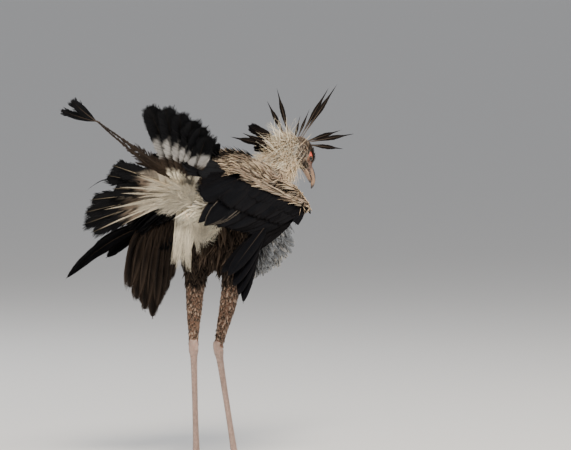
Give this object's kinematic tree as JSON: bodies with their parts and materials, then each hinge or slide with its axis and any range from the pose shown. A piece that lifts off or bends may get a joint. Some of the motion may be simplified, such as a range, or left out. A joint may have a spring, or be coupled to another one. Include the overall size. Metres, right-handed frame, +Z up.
{
  "type": "secretary bird model",
  "caption": "Life-size still model of a secretary bird standing on both feet, with its wings half open and drooped, tail fanned, crest raised and head bowed.",
  "frame": {"origin": "on the floor, under the middle of the model's box", "axes": "+X is the way the body faces, +Y is its left side, +Z is up"},
  "size_m": [1.1795, 0.6082, 1.0227],
  "materials": {
    "grey_feather": "soft matt contour feathers",
    "black_feather": "matt flight feathers",
    "tail_feather": "matt tail feathers, pale at the base and black at the tip",
    "thigh_feather": "short matt feathers",
    "leg_skin": "scaled, matt",
    "bill_horn": "satin horn",
    "claw_horn": "satin horn",
    "eye_glass": "polished"
  },
  "bodies": {
    "root": {"bill_lower": "bill_horn", "bill_upper": "bill_horn", "claw_left_hind": "claw_horn", "claw_left_inner": "claw_horn", "claw_left_middle": "claw_horn", "claw_left_outer": "claw_horn", "claw_right_hind": "claw_horn", "claw_right_inner": "claw_horn", "claw_right_middle": "claw_horn", "claw_right_outer": "claw_horn", "eye_left": "eye_glass", "eye_right": "eye_glass", "foot_left": "leg_skin", "foot_right": "leg_skin", "head": "grey_feather", "neck": "grey_feather", "tail": "tail_feather", "tarsus_left": "leg_skin", "tarsus_right": "leg_skin", "thigh_left": "thigh_feather", "thigh_right": "thigh_feather", "torso": "grey_feather", "wing_left_arm": "black_feather", "wing_left_hand": "black_feather", "wing_left_shoulder": "black_feather", "wing_right_arm": "black_feather", "wing_right_hand": "black_feather", "wing_right_shoulder": "black_feather"}
  },
  "joints": []
}
